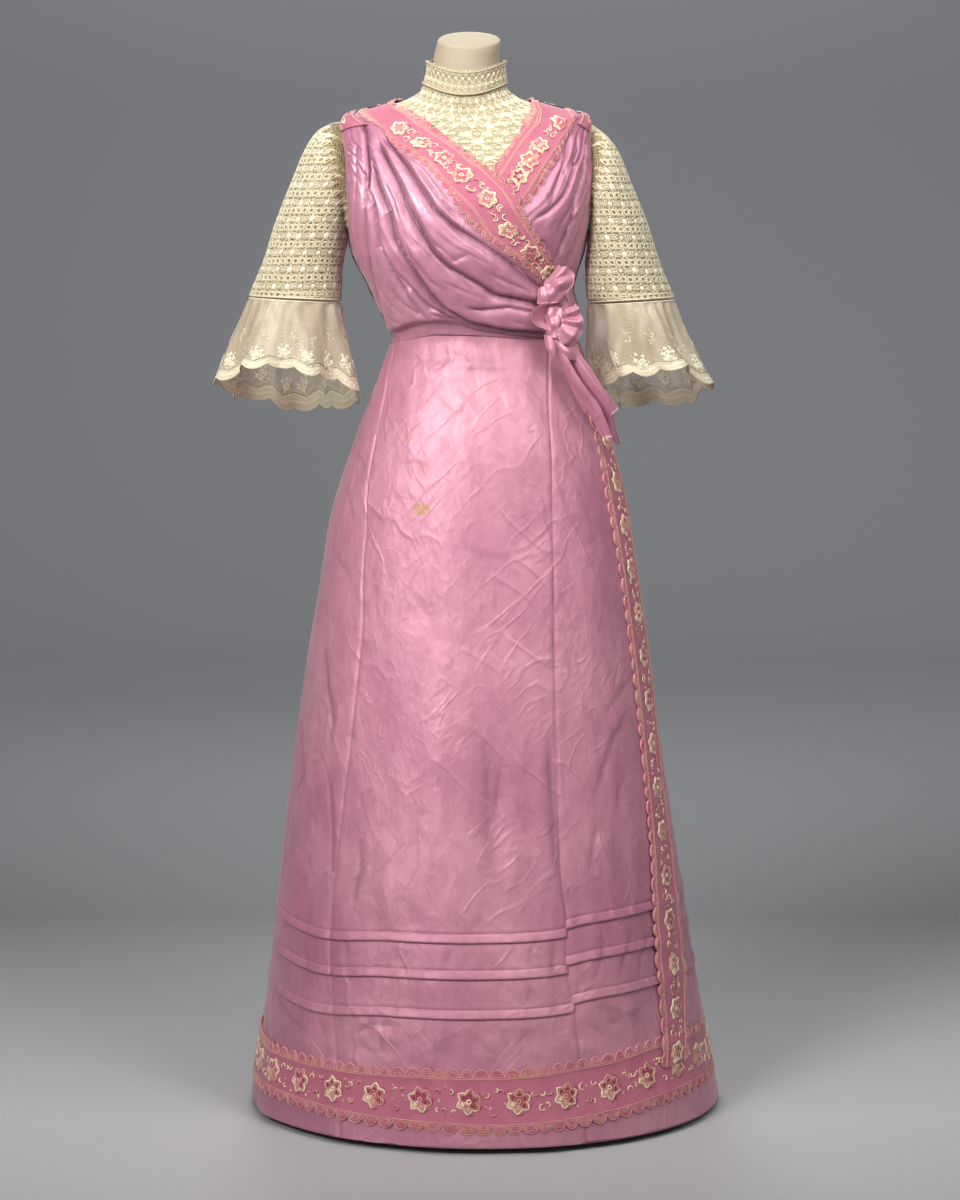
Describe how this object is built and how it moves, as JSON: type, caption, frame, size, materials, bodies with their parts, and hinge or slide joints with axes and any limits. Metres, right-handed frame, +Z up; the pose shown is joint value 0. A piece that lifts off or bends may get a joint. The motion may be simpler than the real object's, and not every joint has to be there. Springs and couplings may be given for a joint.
{
  "type": "day dress on a dress form",
  "caption": "Floor-length satin day dress with draped crossover front, embroidered bands, lace yoke and elbow sleeves, net flounces and a side bow, on a limbless dress form with a stand",
  "frame": {"origin": "middle of the stand's flat underside, on the floor", "axes": "+Z up; the front of the dress faces -Y; +X is the wearer's left, the side with the bow"},
  "size_m": [0.6559, 0.6523, 1.415],
  "materials": {
    "satin": "pink satin",
    "embroidery": "pink ground worked in crimson, cream and gold thread",
    "lace": "cream cotton lace",
    "net": "fine cream net",
    "form_cover": "smooth cream cover",
    "stand_metal": "satin black"
  },
  "bodies": {
    "root": {"bodice_front_right": "satin", "bodice_front_left": "satin", "bodice_back_right": "satin", "bodice_back_left": "satin", "waistband": "satin", "skirt_front": "satin", "skirt_side_right": "satin", "skirt_side_left": "satin", "skirt_back_right": "satin", "skirt_back_left": "satin", "trim_hem": "embroidery", "trim_side": "embroidery", "trim_neck_right": "embroidery", "trim_neck_left": "embroidery", "trim_neck_back": "embroidery", "trim_shoulder_right": "embroidery", "trim_shoulder_left": "embroidery", "yoke_front": "lace", "yoke_back": "lace", "collar": "lace", "sleeve_right": "lace", "sleeve_left": "lace", "cuff_right": "net", "cuff_left": "net", "bow_upper": "satin", "bow_loop_right": "satin", "bow_loop_left": "satin", "bow_knot": "satin", "sash_tail_small": "satin", "sash_tail_front": "satin", "sash_tail_back": "satin", "form_torso": "form_cover", "form_pole": "stand_metal", "form_base": "stand_metal"}
  },
  "joints": []
}
